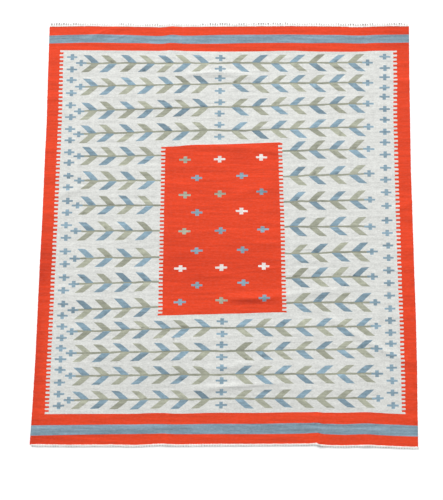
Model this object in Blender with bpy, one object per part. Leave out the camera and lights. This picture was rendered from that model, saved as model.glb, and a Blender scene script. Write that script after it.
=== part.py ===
"""Flat-woven soumak rug lying flat, with soft storage creases and a row of knotted warps at each end.

Metres, +Z up. X runs across the rug, Y along its warps; +Y is the end furthest from the camera.
The rug is one cloth: its hem, borders and panel are woven in, so they are all in one solid.
"""
import math

import bpy

# Cloth
CLOTH_THICKNESS = 0.0040      # flat weave with a supplementary weft
SELVEDGE_DROP = 0.0010        # the selvedge's top edge is rounded by this much
SELVEDGE_WIDTH = 0.0070
COLUMN_STEP = 0.0470          # widest spacing of the cloth's points across
ROW_STEP = 0.0275             # and along the rug

# Knotted warp ends
KNOTS_PER_END = 148           # 16.5 mm apart, 296 in all
KNOT_HEIGHT = 0.0072
KNOT_VALLEY_HEIGHT = 0.0030
FAR_END_DEPTH = 0.0170        # from the woven edge to the cut tips
NEAR_END_DEPTH = 0.0130
VALLEY_REACH = 0.60           # how far the strip reaches between two knots, as a share of its depth
CREST_PLACE = 0.42            # the knot's highest point, as a share of the depth
PARTING = 0.0003              # clearance between the cloth's edge and the knots

# Where the two selvedges and the two long storage folds lie, at stations along the rug
SIDE_LINES = (
    # y, left_selvedge, left_fold, right_fold, right_selvedge
    (1.390, -1.2245, -0.3980, 0.5600, 1.2235),
    (1.050, -1.2200, -0.3960, 0.5600, 1.2185),
    (0.710, -1.2140, -0.3900, 0.5610, 1.2165),
    (0.380, -1.2145, -0.3820, 0.5630, 1.2150),
    (0.060, -1.2130, -0.3750, 0.5660, 1.2180),
    (-0.260, -1.2155, -0.3690, 0.5700, 1.2210),
    (-0.570, -1.2150, -0.3640, 0.5750, 1.2248),
    (-0.870, -1.2155, -0.3600, 0.5830, 1.2250),
    (-1.180, -1.2205, -0.3560, 0.5950, 1.2215),
    (-1.390, -1.2260, -0.3530, 0.6050, 1.2200),
)
LEFT_FOLD = -0.375            # the folds' places in the cloth's own, straight columns
RIGHT_FOLD = 0.575

# Where the woven edges lie, at stations across the rug
END_LINES = (
    # x, far_edge, near_edge
    (-1.220, 1.3895, -1.3850),
    (-0.950, 1.3925, -1.3870),
    (-0.710, 1.3880, -1.3835),
    (-0.570, 1.3865, -1.3860),
    (-0.460, 1.3835, -1.3805),
    (-0.375, 1.3905, -1.3765),
    (-0.300, 1.3865, -1.3810),
    (-0.060, 1.3885, -1.3770),
    (0.200, 1.3900, -1.3750),
    (0.430, 1.3915, -1.3725),
    (0.575, 1.3905, -1.3690),
    (0.680, 1.3890, -1.3785),
    (0.760, 1.3880, -1.3810),
    (0.900, 1.3815, -1.3755),
    (0.980, 1.3875, -1.3790),
    (1.110, 1.3900, -1.3850),
    (1.220, 1.3885, -1.3865),
)

# The rug isn't quite square: how far each corner lies from the even rectangle that the tables assume
CORNER_OFFSETS = {
    # side, end: across, along
    (-1, 1): (0.0041, -0.0065),
    (1, 1): (0.0004, -0.0026),
    (-1, -1): (-0.0062, -0.0146),
    (1, -1): (-0.0083, 0.0004),
}

# Soft ridges where the cloth stands a little off the floor: half width, then points of the crest line.
# The two folds run along the rug, where it was folded in storage; the ripples lie mostly across it.
RIDGES = {
    # name: half_width, points of x, y, height
    "left_fold": (0.030, ((-0.400, 1.440, 0.0040), (-0.396, 1.050, 0.0030), (-0.382, 0.380, 0.0026),
                          (-0.369, -0.260, 0.0024), (-0.360, -0.870, 0.0024), (-0.352, -1.440, 0.0036))),
    "right_fold": (0.038, ((0.607, -1.440, 0.0075), (0.598, -1.250, 0.0045), (0.590, -1.050, 0.0000))),
    "far_arch": (0.040, ((-0.345, 1.023, 0.0000), (-0.253, 1.047, 0.0042), (-0.053, 1.058, 0.0048),
                         (0.130, 1.040, 0.0042), (0.255, 1.003, 0.0000))),
    "far_left_slant": (0.042, ((-1.037, 1.257, 0.0000), (-0.920, 1.320, 0.0038), (-0.787, 1.360, 0.0046),
                               (-0.690, 1.400, 0.0030))),
    "far_right_end": (0.050, ((0.905, 1.440, 0.0060), (0.890, 1.180, 0.0000))),
    "panel_head": (0.036, ((-0.353, 0.548, 0.0000), (-0.150, 0.548, 0.0032), (0.113, 0.540, 0.0030),
                           (0.347, 0.510, 0.0034), (0.450, 0.470, 0.0000))),
    "panel_slant": (0.036, ((0.000, 0.205, 0.0000), (0.110, 0.238, 0.0034), (0.225, 0.264, 0.0030),
                            (0.330, 0.275, 0.0000))),
    "panel_side": (0.034, ((0.110, -0.085, 0.0000), (0.247, -0.107, 0.0028), (0.463, -0.102, 0.0000))),
    "low_panel": (0.038, ((-0.080, -0.458, 0.0000), (0.060, -0.455, 0.0042), (0.347, -0.447, 0.0044),
                          (0.597, -0.415, 0.0034), (0.897, -0.397, 0.0000))),
    "long_slant": (0.032, ((0.545, -0.490, 0.0000), (0.660, -0.570, 0.0030), (0.772, -0.652, 0.0038),
                           (0.963, -0.760, 0.0038), (1.130, -0.847, 0.0030), (1.215, -0.870, 0.0015))),
    "near_cross_upper": (0.036, ((-0.237, -0.912, 0.0000), (-0.037, -0.907, 0.0028), (0.140, -0.878, 0.0036),
                                 (0.270, -0.858, 0.0000))),
    "near_cross": (0.038, ((-0.328, -1.040, 0.0000), (-0.087, -1.030, 0.0038), (0.163, -1.007, 0.0044),
                           (0.410, -0.993, 0.0000))),
    "near_right_end": (0.050, ((0.895, -1.440, 0.0055), (0.885, -1.180, 0.0000))),
    "left_edge_far": (0.034, ((-1.225, 0.873, 0.0036), (-1.150, 0.880, 0.0028), (-1.060, 0.886, 0.0000))),
    "left_edge_middle": (0.034, ((-1.225, 0.520, 0.0030), (-1.110, 0.534, 0.0000))),
    "left_slant": (0.036, ((-1.150, 0.205, 0.0000), (-1.050, 0.236, 0.0034), (-0.920, 0.276, 0.0000))),
    "right_edge_far": (0.038, ((1.225, 0.992, 0.0046), (1.130, 1.004, 0.0034), (1.020, 1.016, 0.0000))),
    "right_edge_middle": (0.036, ((1.225, 0.172, 0.0040), (1.140, 0.140, 0.0030), (1.050, 0.110, 0.0000))),
    "right_edge_low": (0.034, ((1.225, -0.135, 0.0032), (1.120, -0.128, 0.0000))),
}

COLUMN_CLUSTERS = (
    # centre, offsets from it
    (LEFT_FOLD, (-0.030, -0.015, 0.0, 0.015, 0.030)),
    (RIGHT_FOLD, (-0.038, -0.019, 0.0, 0.019, 0.038)),
    (-1.22 + SELVEDGE_WIDTH, (0.0,)),
    (1.22 - SELVEDGE_WIDTH, (0.0,)),
)

COLOURS = {
    # material: colour, roughness
    "ivory_wool": ((0.76, 0.75, 0.71, 1.0), 0.95),
    "warp_cotton": ((0.86, 0.84, 0.78, 1.0), 0.95),
}


def clear_scene():
    for obj in list(bpy.data.objects):
        bpy.data.objects.remove(obj, do_unlink=True)


def material(name):
    """A plain Principled material in the named colour."""
    colour, roughness = COLOURS[name]
    mat = bpy.data.materials.new(name)
    mat.use_nodes = True
    shader = mat.node_tree.nodes["Principled BSDF"]
    shader.inputs["Base Color"].default_value = colour
    shader.inputs["Roughness"].default_value = roughness
    shader.inputs["Metallic"].default_value = 0.0
    return mat


def between(table, at, column):
    """A column of a table at a station, straight between its two neighbours."""
    rows = sorted(table)
    if at <= rows[0][0]:
        return rows[0][column]
    for low, high in zip(rows, rows[1:]):
        if at <= high[0]:
            share = (at - low[0]) / (high[0] - low[0])
            return low[column] + (high[column] - low[column]) * share
    return rows[-1][column]


def stops(low, high, clusters, step):
    """Positions from low to high: the clusters' own, and even ones no further apart than step."""
    fixed = sorted({low, high, *(centre + off for centre, offsets in clusters for off in offsets)})
    found = []
    for start, end in zip(fixed, fixed[1:]):
        parts = max(1, math.ceil((end - start) / step - 1e-6))
        found += [start + (end - start) * i / parts for i in range(parts)]
    return found + [high]


def lift(x, y):
    """How far the cloth stands off the floor at a point: the highest ridge there, zero on the flat."""
    highest = 0.0
    for half_width, crest in RIDGES.values():
        for (ax, ay, ah), (bx, by, bh) in zip(crest, crest[1:]):
            dx, dy = bx - ax, by - ay
            share = ((x - ax) * dx + (y - ay) * dy) / (dx * dx + dy * dy)
            share = min(1.0, max(0.0, share))
            off = math.hypot(x - ax - dx * share, y - ay - dy * share) / half_width
            if off < 1.0:
                height = ah + (bh - ah) * share
                highest = max(highest, height * (0.5 + 0.5 * math.cos(math.pi * off)))
    return highest


def place(column, row):
    """A point of the cloth in its own straight columns and rows, moved to where it lies."""
    far, near = between(END_LINES, column, 1), between(END_LINES, column, 2)
    y = near + (far - near) * (row + 1.39) / 2.78
    lines = [between(SIDE_LINES, y, i) for i in (1, 2, 3, 4)]
    own = [-1.22, LEFT_FOLD, RIGHT_FOLD, 1.22]
    part = 0 if column <= own[1] else 1 if column <= own[2] else 2
    share = (column - own[part]) / (own[part + 1] - own[part])
    return lines[part] + (lines[part + 1] - lines[part]) * share, y


def out_of_square(point):
    """The point moved by the corners' offsets, each in proportion to how near its corner is."""
    across, along = (point[0] / 1.22 + 1) / 2, (point[1] / 1.39 + 1) / 2
    moved = [point[0], point[1]]
    for (side, end), offset in CORNER_OFFSETS.items():
        weight = (across if side > 0 else 1 - across) * (along if end > 0 else 1 - along)
        moved = [moved[i] + offset[i] * weight for i in (0, 1)]
    return moved[0], moved[1], point[2]


def solid(name, points, faces, mat, collection):
    mesh = bpy.data.meshes.new(name)
    mesh.from_pydata([out_of_square(point) for point in points], [], faces)
    mesh.materials.append(mat)
    mesh.update()
    obj = bpy.data.objects.new(name, mesh)
    collection.objects.link(obj)
    return obj


def closed_grid(rings):
    """Faces that join rings of equal length into one closed tube, capped at both ends."""
    size = len(rings[0])
    points = [point for ring in rings for point in ring]
    faces = []
    for i in range(len(rings) - 1):
        for j in range(size):
            k = (j + 1) % size
            faces.append((i * size + j, i * size + k, (i + 1) * size + k, (i + 1) * size + j))
    last = (len(rings) - 1) * size
    return points, faces, list(range(size)), [last + j for j in range(size)]


def build_cloth(mat, collection):
    """The cloth, with both faces on its folds; returns it and the run of its two woven edges."""
    columns = stops(-1.22, 1.22, COLUMN_CLUSTERS, COLUMN_STEP)
    rows = stops(-1.39, 1.39, (), ROW_STEP)
    wide = len(columns)
    tops, bottoms = [], []
    for row in rows:
        for i, column in enumerate(columns):
            x, y = place(column, row)
            low = lift(x, y)
            drop = SELVEDGE_DROP if i in (0, wide - 1) else 0.0
            bottoms.append((x, y, low))
            tops.append((x, y, low + CLOTH_THICKNESS - drop))
    under = len(tops)
    faces = []
    for r in range(len(rows) - 1):
        for c in range(wide - 1):
            a, b = r * wide + c, r * wide + c + 1
            d, e = a + wide, b + wide
            faces.append((a, b, e, d))
            faces.append((under + a, under + d, under + e, under + b))
    rim = ([c for c in range(wide)] + [r * wide + wide - 1 for r in range(1, len(rows))]
           + [(len(rows) - 1) * wide + c for c in range(wide - 2, -1, -1)]
           + [r * wide for r in range(len(rows) - 2, 0, -1)])
    for a, b in zip(rim, rim[1:] + rim[:1]):
        faces.append((under + a, under + b, b, a))
    cloth = solid("rug_cloth", tops + bottoms, faces, mat, collection)
    near = bottoms[:wide]
    far = bottoms[-wide:]
    return cloth, far, near


def along(edge, x):
    """The point of an edge at x, straight between its two neighbours."""
    for (ax, ay, az), (bx, by, bz) in zip(edge, edge[1:]):
        if x <= bx:
            share = (x - ax) / (bx - ax)
            return ay + (by - ay) * share, az + (bz - az) * share
    return edge[-1][1], edge[-1][2]


def build_warp_end(name, edge, outward, depth, mat, collection):
    """A strip of knotted, cut warps beside a woven edge; every knot is raised and reaches out."""
    start, end = edge[0][0] + 0.0015, edge[-1][0] - 0.0015
    rings = []
    for k in range(2 * KNOTS_PER_END + 1):
        x = start + (end - start) * k / (2 * KNOTS_PER_END)
        y, low = along(edge, x)
        knot = k % 2 == 1
        uneven = 1.0 + 0.10 * math.sin(1.7 * k) + 0.06 * math.sin(0.53 * k + 1.0)
        reach = depth * (uneven if knot else VALLEY_REACH)
        high = (KNOT_HEIGHT * (1.0 + 0.08 * math.sin(2.3 * k))) if knot else KNOT_VALLEY_HEIGHT
        inner = 0.0036 if knot else 0.0026
        outer = 0.0030 if knot else 0.0018
        y += outward * PARTING
        rings.append([
            (x, y, low),
            (x, y, low + inner),
            (x, y + outward * reach * CREST_PLACE, low + high),
            (x, y + outward * reach, low + outer),
            (x, y + outward * reach, low),
        ])
    if outward > 0:
        rings = [ring[::-1] for ring in rings]
    points, faces, first, last = closed_grid(rings)
    faces.append(tuple(first[::-1]))
    faces.append(tuple(last))
    return solid(name, points, faces, mat, collection)


def centre(objects):
    """Moves every point so that the rug's box is centred on X and Y and stands on Z = 0."""
    points = [v.co for obj in objects for v in obj.data.vertices]
    shift = [(min(p[i] for p in points) + max(p[i] for p in points)) / 2 for i in (0, 1)]
    shift.append(min(p[2] for p in points))
    for point in points:
        for i in range(3):
            point[i] -= shift[i]
    print("shift", [round(s, 5) for s in shift])


def main():
    clear_scene()
    collection = bpy.data.collections.new("soumak_rug")
    bpy.context.scene.collection.children.link(collection)
    wool, cotton = material("ivory_wool"), material("warp_cotton")
    cloth, far, near = build_cloth(wool, collection)
    far_end = build_warp_end("far_warp_knots", far, 1.0, FAR_END_DEPTH, cotton, collection)
    near_end = build_warp_end("near_warp_knots", near, -1.0, NEAR_END_DEPTH, cotton, collection)
    centre([cloth, far_end, near_end])


main()
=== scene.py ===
import math

import bpy
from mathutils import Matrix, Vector
from mathutils.geometry import delaunay_2d_cdt


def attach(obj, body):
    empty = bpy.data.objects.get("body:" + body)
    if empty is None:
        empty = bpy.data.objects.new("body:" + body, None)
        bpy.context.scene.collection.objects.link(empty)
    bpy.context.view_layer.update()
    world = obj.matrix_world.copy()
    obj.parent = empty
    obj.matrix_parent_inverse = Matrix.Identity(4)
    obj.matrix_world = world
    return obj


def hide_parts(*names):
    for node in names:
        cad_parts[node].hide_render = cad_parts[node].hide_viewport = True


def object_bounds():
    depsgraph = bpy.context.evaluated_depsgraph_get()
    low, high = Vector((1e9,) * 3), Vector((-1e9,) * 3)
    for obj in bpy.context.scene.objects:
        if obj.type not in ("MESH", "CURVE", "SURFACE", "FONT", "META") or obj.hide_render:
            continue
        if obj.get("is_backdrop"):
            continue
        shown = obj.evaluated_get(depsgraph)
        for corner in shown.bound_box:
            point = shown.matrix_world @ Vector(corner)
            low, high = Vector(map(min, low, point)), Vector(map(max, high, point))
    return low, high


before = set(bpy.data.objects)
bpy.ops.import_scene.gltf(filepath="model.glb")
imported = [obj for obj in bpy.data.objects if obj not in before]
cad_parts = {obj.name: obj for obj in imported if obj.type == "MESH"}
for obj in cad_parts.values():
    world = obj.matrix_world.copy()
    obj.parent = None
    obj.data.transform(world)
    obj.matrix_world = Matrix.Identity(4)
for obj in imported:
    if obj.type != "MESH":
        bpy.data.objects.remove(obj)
cad_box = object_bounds()

# The solids' outline, corners and ridges, as in the part's own source, in metres on the flat rug.
CLOTH_THICKNESS = 0.0040
CLOTH_WIDTH, CLOTH_LENGTH = 2.44, 2.78
MM = 1000.0  # millimetres in a metre
CENTRE_SHIFT = (0.00409, 0.00419)  # puts the origin in the middle of the rug's box
SIDE_LINES = (
    # y, left selvedge, right selvedge
    (1.390, -1.2245, 1.2235),
    (1.050, -1.2200, 1.2185),
    (0.710, -1.2140, 1.2165),
    (0.380, -1.2145, 1.2150),
    (0.060, -1.2130, 1.2180),
    (-0.260, -1.2155, 1.2210),
    (-0.570, -1.2150, 1.2248),
    (-0.870, -1.2155, 1.2250),
    (-1.180, -1.2205, 1.2215),
    (-1.390, -1.2260, 1.2200),
)
LEFT, RIGHT = 1, 2  # the sides, and their columns in SIDE_LINES and EDGE_CROSS_LINES
CORNER_OFFSETS = {(-1, 1): (0.0041, -0.0065), (1, 1): (0.0004, -0.0026),
                  (-1, -1): (-0.0062, -0.0146), (1, -1): (-0.0083, 0.0004)}
RIDGES = {
    # name: (half_width, ((x, y, height), ...))
    "left_fold": (0.03, (
        (-0.4, 1.44, 0.004), (-0.396, 1.05, 0.003), (-0.382, 0.38, 0.0026),
        (-0.369, -0.26, 0.0024), (-0.36, -0.87, 0.0024), (-0.352, -1.44, 0.0036))),
    "right_fold": (0.038, ((0.607, -1.44, 0.0075), (0.598, -1.25, 0.0045), (0.59, -1.05, 0))),
    "far_arch": (0.04, (
        (-0.345, 1.023, 0), (-0.253, 1.047, 0.0042), (-0.053, 1.058, 0.0048), (0.13, 1.04, 0.0042),
        (0.255, 1.003, 0))),
    "far_left_slant": (0.042, (
        (-1.037, 1.257, 0), (-0.92, 1.32, 0.0038), (-0.787, 1.36, 0.0046), (-0.69, 1.4, 0.003))),
    "far_right_end": (0.05, ((0.905, 1.44, 0.006), (0.89, 1.18, 0))),
    "panel_head": (0.036, (
        (-0.353, 0.548, 0), (-0.15, 0.548, 0.0032), (0.113, 0.54, 0.003), (0.347, 0.51, 0.0034),
        (0.45, 0.47, 0))),
    "panel_slant": (0.036, (
        (0, 0.205, 0), (0.11, 0.238, 0.0034), (0.225, 0.264, 0.003), (0.33, 0.275, 0))),
    "panel_side": (0.034, ((0.11, -0.085, 0), (0.247, -0.107, 0.0028), (0.463, -0.102, 0))),
    "low_panel": (0.038, (
        (-0.08, -0.458, 0), (0.06, -0.455, 0.0042), (0.347, -0.447, 0.0044), (0.597, -0.415, 0.0034),
        (0.897, -0.397, 0))),
    "long_slant": (0.032, (
        (0.545, -0.49, 0), (0.66, -0.57, 0.003), (0.772, -0.652, 0.0038), (0.963, -0.76, 0.0038),
        (1.13, -0.847, 0.003), (1.215, -0.87, 0.0015))),
    "near_cross_upper": (0.036, (
        (-0.237, -0.912, 0), (-0.037, -0.907, 0.0028), (0.14, -0.878, 0.0036), (0.27, -0.858, 0))),
    "near_cross": (0.038, (
        (-0.328, -1.04, 0), (-0.087, -1.03, 0.0038), (0.163, -1.007, 0.0044), (0.41, -0.993, 0))),
    "near_right_end": (0.05, ((0.895, -1.44, 0.0055), (0.885, -1.18, 0))),
    "left_edge_far": (0.034, ((-1.225, 0.873, 0.0036), (-1.15, 0.88, 0.0028), (-1.06, 0.886, 0))),
    "left_edge_middle": (0.034, ((-1.225, 0.52, 0.003), (-1.11, 0.534, 0))),
    "left_slant": (0.036, ((-1.15, 0.205, 0), (-1.05, 0.236, 0.0034), (-0.92, 0.276, 0))),
    "right_edge_far": (0.038, ((1.225, 0.992, 0.0046), (1.13, 1.004, 0.0034), (1.02, 1.016, 0))),
    "right_edge_middle": (0.036, ((1.225, 0.172, 0.004), (1.14, 0.14, 0.003), (1.05, 0.11, 0))),
    "right_edge_low": (0.034, ((1.225, -0.135, 0.0032), (1.12, -0.128, 0))),
}


def lift(x, y, ridges=RIDGES):
    """How far the folds and ripples hold the cloth off the floor, in metres."""
    highest = 0.0
    for half_width, crest in ridges.values():
        for (ax, ay, ah), (bx, by, bh) in zip(crest, crest[1:]):
            if (min(ax, bx) - half_width > x or max(ax, bx) + half_width < x
                    or min(ay, by) - half_width > y or max(ay, by) + half_width < y):
                continue
            sx, sy = bx - ax, by - ay
            along = min(1.0, max(0.0, ((x - ax) * sx + (y - ay) * sy) / (sx * sx + sy * sy)))
            off = math.hypot(x - ax - sx * along, y - ay - sy * along) / half_width
            if off < 1.0:
                highest = max(highest, (ah + (bh - ah) * along) * (0.5 + 0.5 * math.cos(math.pi * off)))
    return highest


def out_of_square(x, y):
    """The real rug isn't a true rectangle: each corner is a few millimetres out."""
    s, t = (x + CLOTH_WIDTH / 2) / CLOTH_WIDTH, (y + CLOTH_LENGTH / 2) / CLOTH_LENGTH
    dx = dy = 0.0
    for (side, end), (cx, cy) in CORNER_OFFSETS.items():
        share = (s if side > 0 else 1 - s) * (t if end > 0 else 1 - t)
        dx += cx * share
        dy += cy * share
    return x + dx + CENTRE_SHIFT[0], y + dy + CENTRE_SHIFT[1]


# The layout, in millimetres on the flat rug: X from its middle, Y from its middle towards the far end.
STRIPES = (
    # x, far edge, far blue top and foot, field top and foot, near blue top and foot, near edge
    (-1220, 1389.5, 1324, 1267, 1219, -1198, -1267, -1331, -1385.0),
    (-950, 1392.5, 1331, 1273, 1218, -1195, -1263, -1324, -1387.0),
    (-710, 1388.0, 1328, 1270, 1216, -1193, -1259, -1319, -1383.5),
    (-570, 1386.5, 1323, 1268, 1215, -1192, -1258, -1317, -1386.0),
    (-460, 1383.5, 1320, 1264, 1214, -1187, -1255, -1315, -1380.5),
    (-375, 1390.5, 1328, 1270, 1217, -1186, -1255, -1313, -1376.5),
    (-300, 1386.5, 1322, 1265, 1213, -1190, -1256, -1316, -1381.0),
    (-60, 1388.5, 1327, 1265, 1209, -1183, -1251, -1314, -1377.0),
    (200, 1390.0, 1329, 1270, 1210, -1182, -1250, -1313, -1375.0),
    (430, 1391.5, 1330, 1270, 1214, -1177, -1244, -1310, -1372.5),
    (545, 1390.5, 1328, 1268, 1210, -1176, -1243, -1306, -1370.5),
    (586, 1390.0, 1328, 1268, 1209, -1174, -1240, -1302, -1366.5),
    (628, 1389.5, 1327, 1269, 1208, -1178, -1247, -1310, -1377.5),
    (675, 1389.0, 1327, 1269, 1208, -1178, -1247, -1312, -1379.5),
    (760, 1388.0, 1326, 1269, 1207, -1178, -1249, -1314, -1381.0),
    (900, 1381.5, 1321, 1265, 1208, -1174, -1243, -1310, -1375.5),
    (980, 1387.5, 1326, 1269, 1213, -1178, -1247, -1315, -1379.0),
    (1110, 1390.0, 1328, 1270, 1214, -1184, -1251, -1320, -1385.0),
    (1220, 1388.5, 1330, 1272, 1216, -1185, -1256, -1322, -1386.5),
)
FAR_EDGE, FIELD_TOP, FIELD_FOOT, NEAR_EDGE = 1, 4, 5, 8  # columns of STRIPES
BLUE_STRIPES = ((2, 3), (6, 7))
ACROSS = (-1240.0, 1240.0)  # a stripe is woven this wide and cut at the selvedges
BORDER_COMBS = (
    # y, left_tips, left_roots, right_roots, right_tips
    (1190, -1145, -1119, 1112, 1138),
    (1007, -1143, -1117, 1110, 1136),
    (823, -1139, -1112, 1106, 1132),
    (457, -1136, -1110, 1106, 1132),
    (90, -1136, -1110, 1108, 1136),
    (-277, -1138, -1111, 1113, 1139),
    (-643, -1139, -1112, 1119, 1145),
    (-1010, -1140, -1112, 1122, 1147),
    (-1190, -1139, -1112, 1121, 1146),
)
BORDER_PITCH = (25.2, 28.6)  # of the border's teeth at the near and the far end
FIELD_CORNERS = (-1138, -1144, 1145, 1154)  # x of the near left, far left, far right and near right one
PANEL_COMBS = (
    # y, left_roots, left_tips, right_tips, right_roots
    (540, -439, -409, 340, 368),
    (257, -435, -410, 349, 376),
    (-10, -435, -408, 357, 384),
    (-277, -434, -407, 363, 390),
    (-543, -434, -404, 369, 398),
)
LEFT_SIDE, RIGHT_SIDE = (1, 2), (4, 3)  # the outer and inner columns of both comb tables
PANEL_SIDES = (
    # start, end and the teeth's pitch at each, first on the left and then on the right
    (-572, 545, 25.6, 26.6),
    (571, -550, 26.8, 25.8),
)
PANEL_ENDS = (
    # x, head, foot
    (-433, 545, -572),
    (-330, 550, -570),
    (-285, 555, -568),
    (-235, 559, -566),
    (-100, 562, -563),
    (0, 564, -559),
    (100, 568, -557),
    (250, 574, -551),
    (394, 579, -547),
)
ROWS = (
    # stem's height at the left tip, left middle, right middle and right tip, then the tips' places
    (1127, 1127, 1128, 1130, -997, 940),
    (962, 982, 983, 990, -997, 940),
    (792, 820, 820, 845, -997, 940),
    (632, 660, 657, 685, -995, 940),
    (480, 487, 518, 533, -987, 940),
    (315, 318, 345, 365, -978, 940),
    (147, 152, 175, 190, -985, 940),
    (-22, -18, 8, 13, -987, 940),
    (-202, -193, -170, -152, -987, 952),
    (-370, -353, -327, -315, -985, 952),
    (-540, -517, -488, -482, -985, 965),
    (-677, -648, -648, -635, -985, 968),
    (-815, -795, -797, -777, -985, 970),
    (-958, -945, -945, -933, -985, 972),
    (-1108, -1098, -1095, -1088, -987, 973),
)
PANEL_ROWS = range(4, 11)  # the rows that stop at the panel, counted from 0 at the far end
FORKS = {
    # where each pair of leaves leaves the stem
    ("upper", LEFT): (-873, -752, -617, -493, -363, -248, -127),
    ("upper", RIGHT): (25, 160, 287, 413, 543, 678, 805),
    ("panel", LEFT): (-857, -732, -605, -477),
    ("panel", RIGHT): (413, 540, 675, 805),
    ("lower", LEFT): (-857, -733, -607, -480, -345, -223, -88),
    ("lower", RIGHT): (67, 193, 318, 452, 582, 713, 840),
}
PANEL_TIPS = {LEFT: -985, RIGHT: 940}  # the row's tips for which the panel's forks are given
BLADE_WIDTH = 53.0
BLADE_SLANT = 60.0  # how far a leaf's tip lies outside its foot
LOWER_REACH = 4.0  # how much further the leaves under a stem slant
BLADE_INNER = ((0.29, 0.32), (0.65, 0.67))  # how far along its inner side, and how far up
BLADE_OUTER = ((0.33, 0.70), (0.68, 0.36))
BLADE_HEIGHTS = {"upper": (57.0, 61.0), "panel": (62.0, 60.0), "lower": (53.0, 58.0)}
STEM_HALF = 6.2
STEM_STEP, STEM_UNEVEN = 30.0, 0.25
LINE_STEP = 24.0  # between the points of a smooth edge
SLIPS = {
    # row, side: leaves above and under the stem whose two dyes the weaver exchanged, counted outwards on
    # the right and inwards on the left
    (3, LEFT): ((6,), ()),
    (3, RIGHT): (range(5), range(5)),
    (7, RIGHT): ((), range(3, 7)),
    (8, RIGHT): (range(3, 7), range(3, 7)),
    (9, LEFT): ((3,), (2, 3)),
    (9, RIGHT): (range(3, 7), range(3, 7)),
    (10, RIGHT): (range(3, 7), range(3, 7)),
    (11, RIGHT): (range(7), range(7)),
    (12, LEFT): ((0,), ()),
    (12, RIGHT): (range(1, 7), range(7)),
    (13, LEFT): ((6,), ()),
    (13, RIGHT): (range(7), range(7)),
    (14, RIGHT): ((5, 6), (4, 5, 6)),
}
EDGE_CROSSES = {
    LEFT: (1170, 1083, 1008, 917, 832, 750, 667, 590, 508, 437, 348, 270, 178, 100, 17, -67, -157, -240,
           -328, -412, -500, -575, -645, -717, -783, -853, -920, -1000, -1072, -1145),
    RIGHT: (1172, 1092, 1028, 955, 892, 807, 733, 650, 578, 495, 405, 325, 240, 150, 53, -30, -113, -193,
            -275, -357, -438, -522, -598, -675, -745, -818, -897, -978, -1053, -1132),
}
EDGE_CROSS_LINES = (
    # y, left, right
    (1170, -1060, 1057),
    (900, -1056, 1050),
    (300, -1051, 1048),
    (-300, -1051, 1057),
    (-1140, -1053, 1067),
)
MIDDLE_CROSSES = (
    # x, heights
    (-52, (1163, 1087, 1020, 932, 853, 775, 697, 615)),
    (-17, (-608, -688, -757, -835, -902, -983, -1055, -1135)),
)
PANEL_CROSSES = (
    # x, y, dye
    (-278, 458, "sage"), (-48, 462, "white"), (230, 475, "white"),
    (-198, 335, "blue"), (102, 350, "blue"),
    (-275, 220, "sage"), (-42, 228, "sage"), (233, 243, "blue"),
    (-193, 103, "blue"), (102, 113, "white"),
    (-272, -22, "sage"), (-37, -17, "blue"), (242, -8, "blue"),
    (-190, -150, "blue"), (110, -143, "blue"),
    (-295, -267, "white"), (-28, -260, "white"), (248, -250, "white"),
    (-185, -375, "blue"), (115, -358, "blue"),
    (-293, -485, "blue"), (-23, -473, "sage"), (253, -457, "blue"),
)
FIELD_CROSS = (71.0, 42.0, 13.0, 23.0)  # width, height, bar, post
PANEL_CROSS = (76.0, 43.0, 14.0, 24.0)
CROSS_TILT, CROSS_SHIFT, CROSS_TAPER = 0.035, 0.04, 0.92

# The weaver's hand: how far two motifs of one kind differ, as shares of their size.
UNEVEN, BLADE_UNEVEN = 0.05, 0.04
TIP_WANDER, ROOT_WANDER = 1.6, 1.3  # of a comb's teeth, in millimetres
TOOTH_EASE, VALLEY_EASE = 0.13, 0.4  # how far a tooth's corners are eased, as a share of its depth
TOOTH = ((0.03, 1), (0.24, 0), (0.5, 0), (0.76, 0), (0.97, 1))  # places along it, and where it's eased


def hand(*keys):
    """A steady number from -1 to 1 for a place in the weave, so that no two motifs are quite alike."""
    value = 12.9898
    for n, key in enumerate(keys):
        value += float(key) * (78.233 + 37.719 * n)
    value = math.sin(value) * 43758.5453
    return 2.0 * (value - math.floor(value)) - 1.0


def read(table, at, column):
    """A column of a table at a station, on a smooth curve through its rows."""
    rows = sorted(table)
    if at <= rows[0][0]:
        return rows[0][column]
    if at >= rows[-1][0]:
        return rows[-1][column]
    i = next(k for k in range(1, len(rows)) if at <= rows[k][0])
    near = [rows[min(max(k, 0), len(rows) - 1)] for k in (i - 2, i - 1, i, i + 1)]
    x, y = [row[0] for row in near], [row[column] for row in near]
    t = (at - x[1]) / (x[2] - x[1])
    step = x[2] - x[1]
    rise = [(y[2] - y[0]) / (x[2] - x[0]) * step, (y[3] - y[1]) / (x[3] - x[1]) * step]
    return (y[1] * (2 * t**3 - 3 * t**2 + 1) + rise[0] * (t**3 - 2 * t**2 + t)
            + y[2] * (3 * t**2 - 2 * t**3) + rise[1] * (t**3 - t**2))


def read_straight(table, at, column):
    """A column of a table at a station, straight between its two neighbours."""
    rows = sorted(table)
    at = min(max(at, rows[0][0]), rows[-1][0])
    for low, high in zip(rows, rows[1:]):
        if at <= high[0]:
            share = (at - low[0]) / (high[0] - low[0])
            return low[column] + (high[column] - low[column]) * share
    return rows[-1][column]


def rim_left(y):
    return read_straight(SIDE_LINES, y / MM, LEFT) * MM


def rim_right(y):
    return read_straight(SIDE_LINES, y / MM, RIGHT) * MM


def spread(start, end, count):
    """Even steps from start to end, both included."""
    return [start + (end - start) * i / count for i in range(count + 1)]


def line(table, column, start, end):
    """Points of a stripe's edge from start to end across the rug."""
    count = max(2, round(abs(end - start) / LINE_STEP))
    return [(x, read(table, x, column)) for x in spread(start, end, count)]


def margins(x, y):
    """How far a point lies inside the selvedges, and inside the woven ends."""
    far, near = read_straight(STRIPES, x, FAR_EDGE), read_straight(STRIPES, x, NEAR_EDGE)
    return min(x - rim_left(y), rim_right(y) - x), min(far - y, y - near)


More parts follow.
